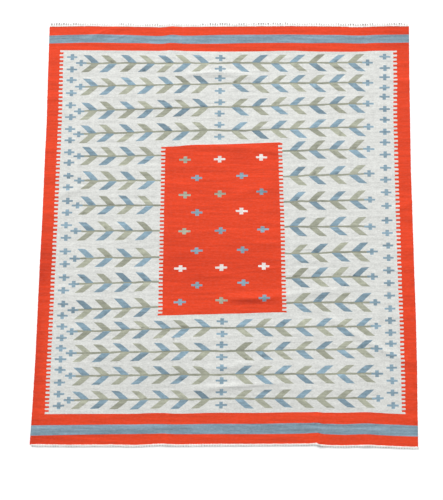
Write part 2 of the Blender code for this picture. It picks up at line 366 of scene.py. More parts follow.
def comb(table, outer, inner, start, end, pitch_start, pitch_end, seed):
    """A comb edge along the rug: square teeth with eased corners. It starts and ends on its outer line."""
    length, way = abs(end - start), 1.0 if end > start else -1.0
    count = round(length / ((pitch_start + pitch_end) / 2.0))
    steps = [(pitch_start + (pitch_end - pitch_start) * (n + 0.5) / count) * (1.0 + UNEVEN * hand(seed, n))
             for n in range(count)]
    scale = length / (sum(steps) + 0.5 * pitch_end)
    points, y = [], start
    for n in range(count + 1):
        last = n == count
        pitch = (pitch_end if last else steps[n]) * scale
        tooth = pitch * (0.5 if last else 0.50 + UNEVEN * hand(seed, n, 3))
        out = read(table, y, outer) + TIP_WANDER * hand(seed, n, 5)
        back = read(table, y, inner) + ROOT_WANDER * hand(seed, n, 7)
        ease = (out - back) * TOOTH_EASE
        head = [(out - ease * eased, y + way * tooth * place) for place, eased in TOOTH]
        points += [(out, y)] + head[2:] if n == 0 else [(back, y)] + head[:3 if last else 5]
        if not last:
            points += [(back, y + way * tooth), (back + ease * VALLEY_EASE, y + way * (tooth + pitch) / 2)]
            y += way * pitch
    return points[:-1] + [(points[-1][0], end)]


def cross(x, y, size):
    """A small cross: a flat bar across and a short stout post, a little askew."""
    wide, high, bar, post = (s * (1.0 + UNEVEN * hand(x, y, i)) for i, s in enumerate(size))
    tilt = CROSS_TILT * hand(x, y, 9)
    shift = CROSS_SHIFT * wide * hand(x, y, 11)
    corners = []
    for sx, sy in ((1, 1), (1, -1), (-1, -1), (-1, 1)):
        arm = [(post / 2 * sx + shift, high / 2 * sy), (post / 2 * sx + shift, bar / 2 * sy),
               (wide / 2 * sx, bar / 2 * CROSS_TAPER * sy)]
        corners += arm if sx * sy > 0 else arm[::-1]
    return [(x + cx, y + cy + cx * tilt) for cx, cy in corners]


def stem_height(row, x):
    """A stem's height at x: a smooth curve through the row's four heights, with a slow and a quick wave."""
    left, left_middle, right_middle, right, left_tip, right_tip = ROWS[row]
    inner = (-430, 370) if row in PANEL_ROWS else (-110, 10)
    y = read(((left_tip, left), (inner[0], left_middle), (inner[1], right_middle), (right_tip, right)), x, 1)
    return y + 1.3 * math.sin(x / 61.0 + row) + 0.9 * math.sin(x / 23.0 + 2.0 * row)


def zone(row):
    return "upper" if row < 4 else "panel" if row in PANEL_ROWS else "lower"


def leaf(row, side, fork, level):
    """A slanting blade; its foot lies along the stem and its tip points outwards and away from it."""
    out = -1.0 if side == LEFT else 1.0
    further = LOWER_REACH if level < 0 else 0.0
    high = BLADE_HEIGHTS[zone(row)][0 if level > 0 else 1] * (1.0 + BLADE_UNEVEN * hand(row, fork, level))
    wide = BLADE_WIDTH * (1.0 + UNEVEN * hand(row, fork, level, 2))
    slant = BLADE_SLANT * (1.0 + UNEVEN * hand(row, fork, level, 4)) + further
    foot, heel = fork, fork + out * wide
    tip, shoulder = fork + out * (slant + wide + further), fork + out * (slant + 2.0)
    root = STEM_HALF * 0.5

    def at(x, rise):
        return x, (stem_height(row, x) * (1 - rise) + stem_height(row, fork + out * slant) * rise
                   + level * (root * (1 - rise) + high * rise))

    inner = [at(foot, 0.0)] + [at(foot + (shoulder - foot) * share, rise) for share, rise in BLADE_INNER]
    head = [at(shoulder, 0.98), at((tip + shoulder) / 2, 1.01 + 0.01 * hand(row, fork, 6)), at(tip, 1.03)]
    outer = [at(tip + (heel - tip) * share, rise) for share, rise in BLADE_OUTER] + [at(heel, 0.0)]
    return inner + head + outer


def stem(row, start, end):
    """A stem from start to end across the rug, of slightly uneven width."""
    upper, lower = [], []
    for i, x in enumerate(spread(start, end, max(4, round((end - start) / STEM_STEP)))):
        y = stem_height(row, x)
        upper.append((x, y + STEM_HALF * (1 + STEM_UNEVEN * hand(row, i))))
        lower.append((x, y - STEM_HALF * (1 + STEM_UNEVEN * hand(row, i, 4))))
    return upper + lower[::-1]


def forks(row, side):
    """The pairs' places in a row; they drift outwards with the row's tip, as the rug widens."""
    base = FORKS[zone(row), side]
    if zone(row) == "panel":
        drift = ROWS[row][4 if side == LEFT else 5] - PANEL_TIPS[side]
        base = tuple(x + drift for x in base)
    return base


def combed(left, right, table, head, foot):
    """An outline with a comb edge on its left and right, and smooth edges between them."""
    top = line(table, head, left[-1][0], right[0][0])[1:-1]
    base = line(table, foot, right[-1][0], left[0][0])[1:-1]
    return top + right + base + left


def field_outline():
    near_left, far_left, far_right, near_right = FIELD_CORNERS
    left = comb(BORDER_COMBS, *LEFT_SIDE, read(STRIPES, near_left, FIELD_FOOT),
                read(STRIPES, far_left, FIELD_TOP), *BORDER_PITCH, 1)
    right = comb(BORDER_COMBS, *RIGHT_SIDE, read(STRIPES, far_right, FIELD_TOP),
                 read(STRIPES, near_right, FIELD_FOOT), *BORDER_PITCH[::-1], 2)
    return combed(left, right, STRIPES, FIELD_TOP, FIELD_FOOT)


def panel_outline():
    left = comb(PANEL_COMBS, *LEFT_SIDE, *PANEL_SIDES[0], 3)
    right = comb(PANEL_COMBS, *RIGHT_SIDE, *PANEL_SIDES[1], 4)
    return combed(left, right, PANEL_ENDS, 1, 2)


def sprigs(row):
    """A row's stem, which stops beside the panel, its pairs of leaves and the cross at each tip."""
    _, left_middle, right_middle, _, left_tip, right_tip = ROWS[row]
    runs = [(left_tip, right_tip)]
    if row in PANEL_ROWS:
        runs = [(left_tip, read(PANEL_COMBS, left_middle, LEFT_SIDE[0]) + 2),
                (read(PANEL_COMBS, right_middle, RIGHT_SIDE[0]) - 2, right_tip)]
    shapes = [("sage", "stem", stem(row, start, end)) for start, end in runs]
    for side in (LEFT, RIGHT):
        places = forks(row, side)
        first = 3 if side == RIGHT and len(places) == 4 else 0
        for level, slips in zip((1, -1), SLIPS.get((row, side), ((), ()))):
            for number, fork in enumerate(places, first):
                blue = (number % 2 == 0) == ((side == LEFT) == (level > 0))
                if number in slips:
                    blue = not blue
                shapes.append(("blue" if blue else "sage", "leaf", leaf(row, side, fork, level)))
    for tip in (left_tip, right_tip):
        shapes.append(("blue", "cross", cross(tip, stem_height(row, tip), FIELD_CROSS)))
    return shapes


def pattern():
    """Every coloured shape in the order in which it covers the ones before: dye, kind, points."""
    shapes = [("blue", "stripe", line(STRIPES, top, *ACROSS) + line(STRIPES, foot, *ACROSS)[::-1])
              for top, foot in BLUE_STRIPES]
    shapes += [("ivory", "field", field_outline()), ("coral", "panel", panel_outline())]
    for row in range(len(ROWS)):
        shapes += sprigs(row)
    places = [(read(EDGE_CROSS_LINES, y, side), y)
              for side, heights in EDGE_CROSSES.items() for y in heights]
    places += [(x, y) for x, heights in MIDDLE_CROSSES for y in heights]
    shapes += [("blue", "cross", cross(x, y, FIELD_CROSS)) for x, y in places]
    shapes += [(dye, "cross", cross(x, y, PANEL_CROSS)) for x, y, dye in PANEL_CROSSES]
    return shapes


# The cloth: one mesh that follows every woven edge, with the dye of each face, darkened in places by painted
# shade, kept on it.
DYES = {
    # dye: linear colour, and how streaky it is
    "coral": ((0.690, 0.0500, 0.0120), 0.80),
    "blue": ((0.202, 0.303, 0.372), 1.75),
    "sage": ((0.345, 0.358, 0.279), 1.35),
    "ivory": ((0.625, 0.634, 0.610), 0.50),
    "white": ((0.735, 0.670, 0.640), 0.15),
}
PAINTED_SHADE_POWERS = {"coral": (1.0, 1.6, 1.6)}  # how the painted shade acts on red, green and blue
RELIEF = {"leaf": 0.00050, "cross": 0.00050, "stem": 0.00035}
INSET = 1.3  # a raised motif's top lies this far inside its outline
SHORTEST_EDGE, SHORTEST_MITRE, LONGEST_REACH = 0.05, 0.4, 1.9
TONES = {"stripe": -0.07, "stem": -0.20}  # how much paler or darker than its dye a shape is
TONE_SPREAD = {"leaf": 0.10, "cross": 0.08}
DARK_LOT, DARK_LOT_FROM = -0.16, 0.72  # leaves that draw more than the second are darker
SELVEDGE_FROM = 1205.0  # a rim point further out than this is on a selvedge
SELVEDGE_STEP, SELVEDGE_WAVE, END_STEP = 7.0, 0.7, 8.0
EDGE_REACH, EDGE_DROP = 5.0, 0.0011  # where the cloth thins towards its rim, and by how much
END_SHARE, UNDER_SHARE = 0.8, 0.5  # of that drop at the woven ends and on the underside
RIM_BULGE = 0.0004
WALL_OFFSETS = (0.0, 0.0036, 0.0018)  # of a wall's top, foot and middle in the baking layout
CLOTH_SPAN = 2.86  # metres that the baking layout is wide
SHARP_ANGLE = 62

# Loose points between the outlines, in millimetres.
GRID_STEP, GRID_SHIFT = 9.9, 4.9
GRID_COLUMNS, GRID_ROWS = 123, 140  # on each side of the middle
GRID_MARGIN, GRID_WANDER = 4.0, 1.6
FLAT_BELOW = 0.00004  # metres of lift under which the cloth counts as flat
CREASE_STEP = 0.009
CREASE_ACROSS = (-1.0, -0.66, -0.33, 0.0, 0.33, 0.66, 1.0)
KEEP_INSIDE, JOIN_WITHIN = 1, 1e-4  # the triangulation's output type and tolerance


def edges(points):
    """A closed outline's points in pairs, each with the next."""
    return zip(points, points[1:] + points[:1])


def anticlockwise(points):
    """The outline, turned round where its area comes out negative."""
    area = sum(a[0] * b[1] - b[0] * a[1] for a, b in edges(points))
    return points if area > 0 else points[::-1]


def inset(points, depth):
    """The outline moved inwards by depth, for a motif's raised top; it leaves out the sharpest corners."""
    result, count = [], len(points)
    for i, (x, y) in enumerate(points):
        ax, ay = points[i - 1]
        bx, by = points[(i + 1) % count]
        u, v = Vector((x - ax, y - ay)), Vector((bx - x, by - y))
        if min(u.length, v.length) < SHORTEST_EDGE:
            continue
        u.normalize()
        v.normalize()
        n, m = Vector((-u.y, u.x)), Vector((-v.y, v.x))
        mitre = n + m
        if mitre.length < SHORTEST_MITRE:
            continue
        mitre.normalize()
        scale = min(LONGEST_REACH, 1.0 / max(0.3, mitre.dot(n)))
        result.append((x + mitre.x * depth * scale, y + mitre.y * depth * scale))
    return result


def selvedge(side, start, end):
    """A side edge from start to end: the wefts turn back there, which makes it very slightly lumpy."""
    rim = rim_left if side < 0 else rim_right
    ys = spread(start, end, round(abs(end - start) / SELVEDGE_STEP))
    inner = [(rim(y) + SELVEDGE_WAVE * hand(i, side), y) for i, y in enumerate(ys[1:-1], 1)]
    return [(rim(ys[0]), ys[0])] + inner + [(rim(ys[-1]), ys[-1])]


def woven_end(column, start, end):
    xs = spread(start, end, round(abs(end - start) / END_STEP))
    return [(x, read_straight(STRIPES, x, column)) for x in xs]


def outline():
    """The cloth's rim, anticlockwise from its near left corner."""
    near_left, near_right, far_left, far_right = (
        rim(end * CLOTH_LENGTH / 2 * MM) for end in (-1, 1) for rim in (rim_left, rim_right))
    left, right = STRIPES[0], STRIPES[-1]
    return (woven_end(NEAR_EDGE, near_left, near_right)[:-1]
            + selvedge(1, right[NEAR_EDGE], right[FAR_EDGE])[:-1]
            + woven_end(FAR_EDGE, far_right, far_left)[:-1]
            + selvedge(-1, left[FAR_EDGE], left[NEAR_EDGE])[:-1])


# Sharper creases along the crests of some ripples, in the same form as RIDGES.
CREASES = {
    "far_arch": (0.016, (
        (-0.33, 1.028, 0), (-0.27, 1.046, 0.0007), (-0.142, 1.061, 0.0011), (-0.035, 1.064, 0.0011),
        (0.087, 1.061, 0.001), (0.174, 1.05, 0.0007), (0.255, 1.03, 0))),
    "near_cross": (0.016, (
        (-0.11, -1.024, 0), (-0.067, -1.019, 0.001), (0.06, -1.016, 0.0018), (0.137, -1.014, 0.0018),
        (0.24, -1.005, 0.0016), (0.34, -0.998, 0.0012), (0.42, -0.992, 0))),
    "right_fold": (0.018, ((0.604, -1.384, 0.003), (0.598, -1.25, 0.002), (0.594, -1.12, 0))),
    "panel": (0.016, (
        (-0.2, -0.325, 0), (-0.08, -0.316, 0.001), (0.095, -0.288, 0.0014), (0.289, -0.267, 0.0016),
        (0.374, -0.254, 0.001), (0.43, -0.248, 0))),
    "panel_low": (0.024, (
        (-0.03, -0.476, 0), (0.04, -0.468, 0.0016), (0.163, -0.464, 0.0036), (0.27, -0.456, 0.003),
        (0.35, -0.448, 0))),
    "far_left_a": (0.014, (
        (-0.82, 1.366, 0), (-0.85, 1.356, 0.0024), (-0.905, 1.33, 0.002), (-0.94, 1.31, 0))),
    "far_left_b": (0.014, (
        (-0.68, 1.33, 0), (-0.72, 1.318, 0.0024), (-0.78, 1.296, 0.002), (-0.82, 1.28, 0))),
}


def crease_points():
    """Rows of points close enough along each crease to give it a clean crest."""
    points = []
    for half_width, crest in CREASES.values():
        for (ax, ay, _), (bx, by, _) in zip(crest, crest[1:]):
            length = math.hypot(bx - ax, by - ay)
            steps = round(length / CREASE_STEP)
            for i in range(steps):
                for share in CREASE_ACROSS:
                    off = share * half_width
                    points.append(((ax + (bx - ax) * i / steps - (by - ay) / length * off) * MM,
                                   (ay + (by - ay) * i / steps + (bx - ax) / length * off) * MM))
    return points


def lattice():
    """Loose points: wide apart where the cloth is flat, closer on its folds."""
    points = crease_points()
    for iy in range(-GRID_ROWS, GRID_ROWS + 1):
        y = iy * GRID_STEP
        for ix in range(-GRID_COLUMNS, GRID_COLUMNS + 1):
            x = ix * GRID_STEP + (GRID_SHIFT if iy % 2 else 0.0)
            coarse = ix % 3 == 0 and iy % 3 == 0
            if not coarse and lift(x / MM, y / MM) < FLAT_BELOW or lift(x / MM, y / MM, CREASES):
                continue
            if min(margins(x, y)) > GRID_MARGIN:
                points.append((x + GRID_WANDER * hand(ix, iy), y + GRID_WANDER * hand(ix, iy, 3)))
    return points


def tone_of(kind, n):
    """How much paler or darker than its dye the shape numbered n is, as a share."""
    if kind not in TONE_SPREAD:
        return TONES.get(kind, 0.0)
    darker = kind == "leaf" and hand(n, 2) > DARK_LOT_FROM
    return TONE_SPREAD[kind] * hand(n, 1) + (DARK_LOT if darker else 0.0)


def weave_cloth():
    """The flat cloth: its points, its triangles and their shapes, the points' relief, what each shape is."""
    vertices, faces, meaning = [], [], []

    def add(points, dye, height, tone):
        points = anticlockwise(points)
        faces.append(list(range(len(vertices), len(vertices) + len(points))))
        vertices.extend(Vector((x, y)) for x, y in points)
        meaning.append((dye, height, tone))

    for n, (dye, kind, points) in enumerate([("coral", "rim", outline())] + pattern()):
        if kind == "stripe":
            points = [(min(max(x, rim_left(y) + 0.01), rim_right(y) - 0.01), y) for x, y in points]
        tone = tone_of(kind, n)
        add(points, dye, 0.0, tone)
        if kind in RELIEF:
            top = inset(anticlockwise(points), INSET)
            if len(top) > 3:
                add(top, dye, RELIEF[kind], tone)
    vertices.extend(Vector(p) for p in lattice())
    found, _, every, _, _, covers = delaunay_2d_cdt(vertices, [], faces, KEEP_INSIDE, JOIN_WITHIN, True)
    triangles, owner, relief = [], [], {}
    for triangle, shapes in zip(every, covers):
        if shapes:
            triangles.append(triangle)
            owner.append(max(shapes))
            height = meaning[owner[-1]][1]
            for v in triangle:
                relief[v] = min(relief.get(v, height), height)
    return found, triangles, owner, relief, meaning


def rounded(distance):
    """The cloth's thickness falls away over its last few millimetres, as a selvedge's does."""
    share = max(0.0, 1.0 - max(distance, 0.0) / EDGE_REACH)
    return EDGE_DROP * share * share


# Painted shade: soft places where the cloth's colour is darkened for the shade of its ripples, folds and
# selvedge, and towards the near end where the light falls off.
PAINTED_SHADE = {
    # dye: x, y, half width, half height, share
    "coral": ((-1.17, -0.23, 0.10, 0.18, 0.15), (-0.27, -0.25, 0.20, 0.13, 0.13),
              (0.16, -0.22, 0.24, 0.10, 0.07), (1.14, 1.30, 0.14, 0.09, 0.18),
              (-1.16, -1.33, 0.16, 0.08, 0.12), (-1.215, -0.85, 0.035, 0.50, 0.16),
              (0.17, -0.484, 0.12, 0.014, 0.22), (-1.205, -0.33, 0.035, 0.05, 0.12),
              (0.11, 0.46, 0.10, 0.05, 0.07)),
    "ivory": ((0.0, -1.10, 1.60, 0.30, 0.045),),
}


# The share of a dye's colour that the painted shade leaves at x, y.
def painted_shade(name, x, y):
    return 1.0 - sum(share * math.exp(-((x - cx) / wide) ** 2 - ((y - cy) / high) ** 2)
                     for cx, cy, wide, high, share in PAINTED_SHADE.get(name, ()))


def rim_edges(triangles):
    """The edges that only one triangle uses, as their first point and their second."""
    used = {edge for triangle in triangles for edge in edges(triangle)}
    return {a: b for triangle in triangles for a, b in edges(triangle) if (b, a) not in used}


def both_faces(flat, relief):
    """The cloth's upper and under points, over the folds and ripples, thinner towards the rim."""
    top, under = [], []
    for i, p in enumerate(flat):
        here = p.x / MM, p.y / MM
        base, crease = lift(*here), lift(*here, CREASES)
        side, end = margins(p.x, p.y)
        drop = max(rounded(side), rounded(end) * END_SHARE)
        top.append((*out_of_square(*here), base + crease + CLOTH_THICKNESS - drop + relief.get(i, 0.0)))
        under.append((*top[i][:2], base + drop * UNDER_SHARE))
    return top, under


def smooth_mesh(name, points, faces):
    mesh = bpy.data.meshes.new(name)
    mesh.from_pydata(points, [], faces)
    mesh.polygons.foreach_set("use_smooth", [True] * len(mesh.polygons))
    return mesh


def add_object(name, data):
    """A new object in the scene's own collection."""
    item = bpy.data.objects.new(name, data)
    bpy.context.scene.collection.objects.link(item)
    return item


def keep(mesh, name, kind, domain, field, values):
    """Stores values on a mesh, where its material reads them."""
    mesh.attributes.new(name, kind, domain)
    mesh.attributes[name].data.foreach_set(field, values)


def dye_cloth(mesh, points, owners, meaning):
    """Keeps each face's dye on its corners, darkened there by the painted shade, and how streaky that dye
    is.
    """
    shaded_tints, streaks = [], []
    for polygon in mesh.polygons:
        name, _, tone = meaning[owners[polygon.index]]
        colour, streak = DYES[name]
        powers = PAINTED_SHADE_POWERS.get(name, (1.0, 1.0, 1.0))
        for corner in polygon.loop_indices:
            x, y, _ = points[mesh.loops[corner].vertex_index]
            # depth is how much of the colour the painted shade leaves at this corner.
            depth = painted_shade(name, x, y)
            shaded_tints += [min(1.0, c * (1.0 + tone) * depth ** power) for c, power in zip(colour, powers)]
            shaded_tints.append(1.0)
            streaks.append(streak)
    keep(mesh, "dye", "FLOAT_COLOR", "CORNER", "color", shaded_tints)
    keep(mesh, "abrash", "FLOAT", "CORNER", "value", streaks)


def lay_out_cloth(mesh, points, on_side, count, walls_from):
    """The baking layout: the cloth seen from above, with its thin walls laid just outside it."""
    uv = mesh.uv_layers.new(name="OFBake")
    for polygon in mesh.polygons:
        for corner in polygon.loop_indices:
            v = mesh.loops[corner].vertex_index
            x, y, _ = points[v]
            out = WALL_OFFSETS[v // count] if polygon.index >= walls_from else 0.0
            if on_side[v]:
                x += out * (1 if x > 0 else -1)
            else:
                y += out * (1 if y > 0 else -1)
            uv.data[corner].uv = (0.5 + x / CLOTH_SPAN, 0.5 + y / CLOTH_SPAN)


def build_cloth(material):
    """Both faces of the cloth, and two rings of wall faces round its rim."""
    flat, triangles, owner, relief, meaning = weave_cloth()
    top, under = both_faces(flat, relief)
    count, ahead = len(flat), rim_edges(triangles)
    on_side = [abs(p.x) > SELVEDGE_FROM for p in flat]
    middle, rim = [], {}
    for a in ahead:
        rim[a] = 2 * count + len(middle)
        x, y, z = top[a]
        middle.append((x + RIM_BULGE * (1 if x > 0 else -1) * on_side[a], y, (z + under[a][2]) / 2))
    points = top + under + middle
    polygons = [tuple(t) for t in triangles] + [tuple(count + i for i in reversed(t)) for t in triangles]
    walls_from = len(polygons)
    owners = owner * 2
    wall_owner = {a: own for t, own in zip(triangles, owner) for a, b in edges(t) if ahead.get(a) == b}
    for a, b in ahead.items():
        polygons += [(b, a, rim[a], rim[b]), (rim[b], rim[a], count + a, count + b)]
        owners += [wall_owner[a]] * 2

    mesh = smooth_mesh("rug_weave", points, polygons)
    dye_cloth(mesh, points, owners, meaning)
    lay_out_cloth(mesh, points, on_side * 2 + [on_side[a] for a in ahead], count, walls_from)
    mesh.set_sharp_from_angle(angle=math.radians(SHARP_ANGLE))
    mesh.materials.append(material)
    return add_object("rug_weave", mesh)


# The warp ends: groups of cotton warps, each knotted against the woven edge and cut short.
KNOTS_PER_END = 148
KNOTS_FROM = -1217.0  # x of the first knot's left side
ENDS = {
    # 1 for the far and -1 for the near end: edge, right side, knots' reach and size, tails' length and
    # raggedness, web's width
    1: (FAR_EDGE, 1216.5, 10.6, 3.5, 9.4, 0.42, 8.2),
    -1: (NEAR_EDGE, 1225.0, 7.4, 3.1, 2.4, 0.22, 6.6),
}
WARPS, TAILS = 6, 4  # in one knot
WARP_RADII = (0.00085, 0.0009, 0.0009, 0.0010)
LOOP_STEPS, LOOP_TURNS = 15, 1.35
LOOP_RADIUS, LOOP_END_RADIUS = 0.0019, 0.0010
# place outside the knot's middle, rise and radius of the yarn through it
CORE = ((-2.4, 0, 0.0014), (-0.6, 0.2, 0.0026), (1.0, 0.1, 0.0026), (2.8, -0.4, 0.0014))
TAIL_LOOKS = {
    # whether the tails are darker: spread, heights of the middle and the tip, radii, soil
    True: (2.6, 2.7, 1.8, (0.0014, 0.0020, 0.0012), (1.4, 3.0)),
    False: (1.75, 2.0, 1.25, (0.0011, 0.0013, 0.0009), (0.5, 1.0)),
}
WEB_STEP, WEB_RIB = 2.75, 0.30
END_SPAN = 2.6  # metres that a row's baking layout is wide


class Yarns:
    """Collects round yarns and knots in one mesh."""

    def __init__(self):
        self.points, self.faces, self.soil = [], [], []

    def tube(self, path, radii, sides, soil):
        """A round yarn through path; soil is how much darker it is at its start and at its end."""
        path = [Vector(p) for p in path]
        start = len(self.points)
        for i, p in enumerate(path):
            ahead = path[min(i + 1, len(path) - 1)] - path[max(i - 1, 0)]
            ahead.normalize()
            across = ahead.cross(Vector((0, 0, 1)))
            if across.length < 1e-4:
                across = Vector((1, 0, 0))
            across.normalize()
            up = across.cross(ahead)
            for s in range(sides):
                turn = 2 * math.pi * s / sides
                self.points.append(p + (across * math.cos(turn) + up * math.sin(turn)) * radii[i])
                self.soil.append(soil[0] + (soil[1] - soil[0]) * i / (len(path) - 1))
        self.skin(start, sides, len(path))

    def skin(self, first, size, rings, flip=False):
        """Faces that join the rings of points from the one numbered first, and a cap at both ends."""
        faces, last = [], first + (rings - 1) * size
        for start in range(first, last, size):
            for a, b in edges(list(range(start, start + size))):
                faces.append((a, b, b + size, a + size))
        faces += [tuple(range(first, first + size))[::-1], tuple(range(last, last + size))]
        self.faces += [face[::-1] for face in faces] if flip else faces

    def piece(self, name, material):
        mesh = smooth_mesh(name, [tuple(p) for p in self.points], self.faces)
        mesh.materials.append(material)
        keep(mesh, "soil", "FLOAT", "POINT", "value", self.soil)
        uv = mesh.uv_layers.new(name="OFBake")
        low, high = min(p.y for p in self.points), max(p.y for p in self.points)
        for loop in mesh.loops:
            p = mesh.vertices[loop.vertex_index].co
            uv.data[loop.index].uv = (0.5 + p.x / END_SPAN, 0.05 + 0.9 * (p.y - low) / (high - low))
        return add_object(name, mesh)


def tie_knot(yarns, at, k, end, pitch):
    """Warps gathered into knot k, with its core, the loop that wraps it and the cut tails."""
    _, _, reach, size, tail, ragged, _ = ENDS[end]
    cx = KNOTS_FROM + pitch * (k + 0.5) + 0.9 * hand(k, end) + 1.3 * hand(k, end, 4)
    far = reach * (1.0 + 0.10 * hand(k, end, 2))
    cz = 4.1
    for w in range(WARPS):
        foot = KNOTS_FROM + pitch * k + pitch * (w + 0.5) / WARPS
        head = cx + (w - 2.5) * 0.55
        path = [at(foot, -2.2, 2.2), at(foot, 0.8, 2.2 + 0.3 * hand(k, w)),
                at(foot + (head - foot) * 0.45, far * 0.42, 2.5 + 0.5 * hand(k, w, 2)),
                at(head, far * 0.86, 3.8)]
        yarns.tube(path, WARP_RADII, 5, (0.0, 0.2))

    size *= 1.0 + 0.10 * hand(k, end, 6)
    path = []
    for i in range(LOOP_STEPS + 1):
        turn = 2 * math.pi * (LOOP_TURNS * i / LOOP_STEPS) + 0.9 * hand(k, end, 8)
        path.append(at(cx + size * math.cos(turn),
                       far + (1.3 * math.sin(turn + 0.7) + 0.5 * (i / LOOP_STEPS - 0.5)),
                       cz + size * 0.50 * math.sin(turn)))
    radii = [LOOP_END_RADIUS] + [LOOP_RADIUS] * (LOOP_STEPS - 1) + [LOOP_END_RADIUS]
    yarns.tube(path, radii, 6, (0.30, 0.40))
    yarns.tube([at(cx, far + away, cz + rise) for away, rise, _ in CORE],
               [radius for *_, radius in CORE], 7, (0.2, 0.45))

    # Some of the far end's knots, a few together, have thicker and darker tails.
    darkened = end > 0 and hand(k // 3, 51) > 0.05 and hand(k, 53) > -0.30
    apart, middle_height, tip_height, radii, soil = TAIL_LOOKS[darkened]
    for w in range(TAILS):
        aside = (w - 1.5) * apart + 0.7 * hand(k, w, end, 3)
        long = tail * (1.0 + ragged * hand(k, w, end))
        path = [at(cx + (w - 1.5) * 0.6, far + 1.8, cz - 0.4),
                at(cx + aside * 0.6, far + 1.8 + long * 0.45, middle_height + 0.4 * hand(k, w)),
                at(cx + aside, far + 1.8 + long, tip_height)]
        yarns.tube(path, radii, 5, soil)


def weave_web(yarns, at, end, pitch):
    """The narrow cotton web that closes the wool: a ribbed band whose inner edge bites into the coral."""
    _, right, *_, web = ENDS[end]
    stations = round((right - KNOTS_FROM) / WEB_STEP)
    first = len(yarns.points)
    for i, x in enumerate(spread(KNOTS_FROM, right, stations)):
        rib = WEB_RIB if i % 2 else -WEB_RIB
        wave = 0.5 + 0.5 * math.cos(2 * math.pi * (x - KNOTS_FROM) / pitch + 0.8 * math.sin(x / 37.0))
        bite = -1.2 - 3.0 * wave * (0.55 + 0.45 * hand(round((x - KNOTS_FROM) / pitch), end, 31))
        edge = web * (1.0 + 0.10 * math.sin(x / 71.0) + 0.08 * hand(i // 3, end, 33))
        ring = ((bite, 3.6), (bite - 0.2, 4.15 + rib * 0.4), (bite + 0.8, 4.45 + rib),
                (web * 0.45, 4.2 + rib), (edge - 1.2, 3.7 + rib), (edge, 2.4), (edge - 0.4, 0.5),
                (bite + 3.4, 0.4), (bite + 3.0, 3.2))
        for away, z in ring:
            yarns.points.append(Vector(at(x, away, z)))
            yarns.soil.append(0.0)
    yarns.skin(first, len(ring), stations + 1, flip=end < 0)


def build_end(name, end, material):
    """A row of knots with its web; end is 1 or -1, as in ENDS."""
    edge, right, *_ = ENDS[end]
    pitch = (right - KNOTS_FROM) / KNOTS_PER_END
    yarns = Yarns()

    def at(x, away, z):
        """A point by its place along the end, how far outside the woven edge, and its height."""
        y = read_straight(STRIPES, x, edge) + end * away
        return *out_of_square(x / MM, y / MM), lift(x / MM, y / MM) + z / MM

    for k in range(KNOTS_PER_END):
        tie_knot(yarns, at, k, end, pitch)
    weave_web(yarns, at, end, pitch)
    return yarns.piece(name, material)


# Materials.
class Nodes:
    """A material's nodes. Apart from add, its methods return sockets, which can feed others."""

    def __init__(self, name):
        self.material = bpy.data.materials.new(name)
        self.material.use_nodes = True
        self.tree = self.material.node_tree
        self.shader = next(n for n in self.tree.nodes if n.type == "BSDF_PRINCIPLED")

    def feed(self, socket, value):
        """Joins a socket to another, or sets it to a constant."""
        if isinstance(value, bpy.types.NodeSocket):
            self.tree.links.new(value, socket)
        else:
            socket.default_value = value

    def add(self, kind, inputs, **settings):
        node = self.tree.nodes.new(kind)
        for key, value in settings.items():
            setattr(node, key, value)
        for socket, value in inputs.items():
            self.feed(node.inputs[socket], value)
        return node

    def attribute(self, name, output="Fac"):
        return self.add("ShaderNodeAttribute", {}, attribute_name=name).outputs[output]

    def math(self, operation, first, second, clamp=False):
        node = self.add("ShaderNodeMath", {0: first, 1: second}, operation=operation, use_clamp=clamp)
        return node.outputs[0]

    def plus(self, first, second, clamp=False):
        return self.math("ADD", first, second, clamp)

    def times(self, first, second, clamp=False):
        return self.math("MULTIPLY", first, second, clamp)

    def swing(self, noise, share, middle=0.5, clamp=False):
        """How far a noise lies from its middle, times a share."""
        return self.times(self.math("SUBTRACT", noise, middle), share, clamp)

    def noise(self, stretch, detail, roughness):
        """Noise whose grains are stretch metres long in X, Y and Z; with 0 it doesn't change that way."""
        place = self.add("ShaderNodeTexCoord", {})
        scale = [1.0 / s if s else 0.0 for s in stretch]
        mapping = self.add("ShaderNodeMapping", {"Vector": place.outputs["Object"], "Scale": scale})
        noise = self.add("ShaderNodeTexNoise", {
            "Vector": mapping.outputs["Vector"], "Scale": 1.0, "Detail": detail, "Roughness": roughness})
        return noise.outputs["Fac"]

    def bump(self, height, strength, distance):
        bump = self.add("ShaderNodeBump", {"Height": height, "Strength": strength, "Distance": distance})
        self.feed(self.shader.inputs["Normal"], bump.outputs["Normal"])


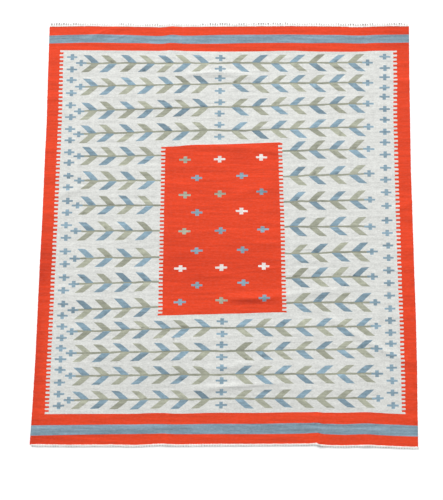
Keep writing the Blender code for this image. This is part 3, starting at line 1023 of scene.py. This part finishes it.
def woven_wool():
    n = Nodes("woven_wool")
    # The dye attribute carries each face's dye together with the painted shade of the cloth's darker places.
    dye = n.attribute("dye", "Color")
    streak = n.noise((0.22, 0.016, 0), 3.0, 0.55)
    band = n.noise((0.9, 0.045, 0), 2.0, 0.5)
    cloud = n.noise((0.038, 0.022, 0), 3.0, 0.62)
    speck = n.noise((0.012, 0.0075, 0), 2.0, 0.65)
    weft = n.noise((0.011, 0.0018, 0), 2.0, 0.6)
    slub = n.noise((0.030, 0.0026, 0), 1.0, 0.5)
    cockle = n.noise((0.120, 0.026, 0), 3.0, 0.55)
    lint = n.noise((0.022, 0.009, 0), 3.0, 0.65)

    strong = n.times(n.plus(n.swing(streak, 0.62), n.swing(band, 0.42)), n.attribute("abrash"))
    fine = n.plus(n.plus(n.swing(weft, 0.30), n.swing(cloud, 0.42)), n.swing(speck, 0.54))
    # The coral wool is evener and cleaner than the paler wools: it has almost no blue in its colour.
    parts = n.add("ShaderNodeSeparateColor", {"Color": dye})
    paler = n.plus(n.times(parts.outputs["Blue"], 1.8), 0.42, clamp=True)
    tone = n.plus(n.plus(strong, n.times(fine, paler)), 1.0)
    colour = n.add("ShaderNodeVectorMath", {0: dye, "Scale": tone}, operation="SCALE")
    pale = n.times(n.swing(lint, 0.15, middle=0.42, clamp=True), paler)
    fuzzy = n.add("ShaderNodeVectorMath", {0: colour.outputs[0], 1: pale}, operation="ADD")
    n.feed(n.shader.inputs["Base Color"], fuzzy.outputs[0])

    n.feed(n.shader.inputs["Roughness"], n.plus(n.times(weft, 0.16), 0.80, clamp=True))
    n.shader.inputs["Specular IOR Level"].default_value = 0.22
    n.shader.inputs["Sheen Weight"].default_value = 0.10
    n.shader.inputs["Sheen Roughness"].default_value = 0.45
    ribs = n.plus(n.times(weft, 0.7), n.times(slub, 0.5))
    n.bump(n.plus(ribs, n.times(cockle, 3.0)), 0.55, 0.0012)
    return n.material


def twisted_cotton():
    n = Nodes("twisted_cotton")
    twist = n.noise((0.0014, 0.0032, 0.0014), 2.0, 0.6)
    soil = n.noise((0.035, 0.012, 0.02), 2.0, 0.5)
    patches = n.noise((0.090, 0.03, 0), 3.0, 0.65)
    mixed = n.plus(n.times(twist, 0.6), n.times(soil, 0.4))
    ramp = n.add("ShaderNodeValToRGB", {"Fac": mixed})
    for stop, place, colour in zip(ramp.color_ramp.elements, (0.26, 0.60),
                                   ((0.56, 0.535, 0.49, 1), (0.93, 0.915, 0.885, 1))):
        stop.position = place
        stop.color = colour
    share = n.times(n.attribute("soil"), n.swing(patches, 4.5, middle=0.38, clamp=True), clamp=True)
    # The colour sockets of a mix node have the numbers 6 and 7, and its colour result has the number 2.
    darkened = n.add("ShaderNodeMix", {0: share, 6: ramp.outputs["Color"], 7: (0.14, 0.13, 0.115, 1)},
                  data_type="RGBA")
    n.feed(n.shader.inputs["Base Color"], darkened.outputs[2])
    n.feed(n.shader.inputs["Roughness"], n.plus(n.times(twist, 0.2), 0.74, clamp=True))
    n.shader.inputs["Specular IOR Level"].default_value = 0.25
    n.shader.inputs["Sheen Weight"].default_value = 0.12
    n.bump(twist, 0.6, 0.0005)
    return n.material


def pale_floor():
    n = Nodes("pale_floor")
    grain = n.noise((0.9, 0.9, 0), 2.0, 0.5)
    grey = n.plus(n.times(grain, 0.01), 0.965)
    join = n.add("ShaderNodeCombineColor", {"Red": grey, "Green": grey, "Blue": grey})
    n.feed(n.shader.inputs["Base Color"], join.outputs["Color"])
    n.shader.inputs["Roughness"].default_value = 0.9
    n.shader.inputs["Specular IOR Level"].default_value = 0.1
    return n.material


# The three pieces, each in place of one solid.
wool, cotton = woven_wool(), twisted_cotton()
cloth = build_cloth(wool)
far_end = build_end("far_knots", 1, cotton)
near_end = build_end("near_knots", -1, cotton)

for piece, node, slot in ((cloth, "rug_cloth", "ivory_wool"), (far_end, "far_warp_knots", "warp_cotton"),
                          (near_end, "near_warp_knots", "warp_cotton")):
    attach(piece, "root")
    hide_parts(node)

# Floor, light and camera.
FLOOR_HALF = 40.0
WORLD_LIGHT = 0.335
PHOTO_WIDTH, PHOTO_FOCAL = 443.0, 720.0  # in pixels
SENSOR_WIDTH = 36.0
CAMERA_PLACE = (0.06926, -0.77172, 4.65364)
CAMERA_TURN = (7.6648, 1.1055, 0.543)  # degrees about X, Y and Z

corners = [(x * FLOOR_HALF, y * FLOOR_HALF, 0) for x, y in ((-1, -1), (1, -1), (1, 1), (-1, 1))]
floor_mesh = bpy.data.meshes.new("studio_floor")
floor_mesh.from_pydata(corners, [], [(0, 1, 2, 3)])
floor_mesh.materials.append(pale_floor())
floor = add_object("studio_floor", floor_mesh)
floor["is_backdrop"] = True


def aim(light, towards):
    light.rotation_euler = Vector(towards).to_track_quat("-Z", "Y").to_euler()


def soft_light(name, towards, strength, width):
    """A broad, even studio light that looks width degrees wide from the rug."""
    light = add_object(name, bpy.data.lights.new(name, "SUN"))
    light.data.energy = strength
    light.data.angle = math.radians(width)
    light.location = [-3.0 * c for c in towards]
    aim(light, towards)


soft_light("key", (0.12, -0.830, -0.545), 3.80, 16)
soft_light("fill", (-0.15, 0.30, -0.94), 0.20, 60)
far_panel = add_object("far_panel", bpy.data.lights.new("far_panel", "AREA"))
far_panel.data.shape = "RECTANGLE"
far_panel.data.size, far_panel.data.size_y = 3.0, 2.0
far_panel.data.energy = 31.0
far_panel.location = (-0.2, 3.0, 3.4)
aim(far_panel, Vector((0, 1.0, 0)) - far_panel.location)
scene = bpy.context.scene
scene.world = world = bpy.data.worlds.new("studio")
world.use_nodes = True
background = next(n for n in world.node_tree.nodes if n.type == "BACKGROUND")
background.inputs["Color"].default_value = (1, 1, 1, 1)
background.inputs["Strength"].default_value = WORLD_LIGHT
scene.view_settings.view_transform = "Standard"

camera = add_object("camera", bpy.data.cameras.new("camera"))
camera.data.sensor_width = SENSOR_WIDTH
camera.data.sensor_fit = "HORIZONTAL"
camera.data.lens = PHOTO_FOCAL * SENSOR_WIDTH / PHOTO_WIDTH
camera.location = CAMERA_PLACE
camera.rotation_euler = [math.radians(a) for a in CAMERA_TURN]
scene.camera = camera

str([[list(map(float, corner)) for corner in box] for box in (cad_box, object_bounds())])
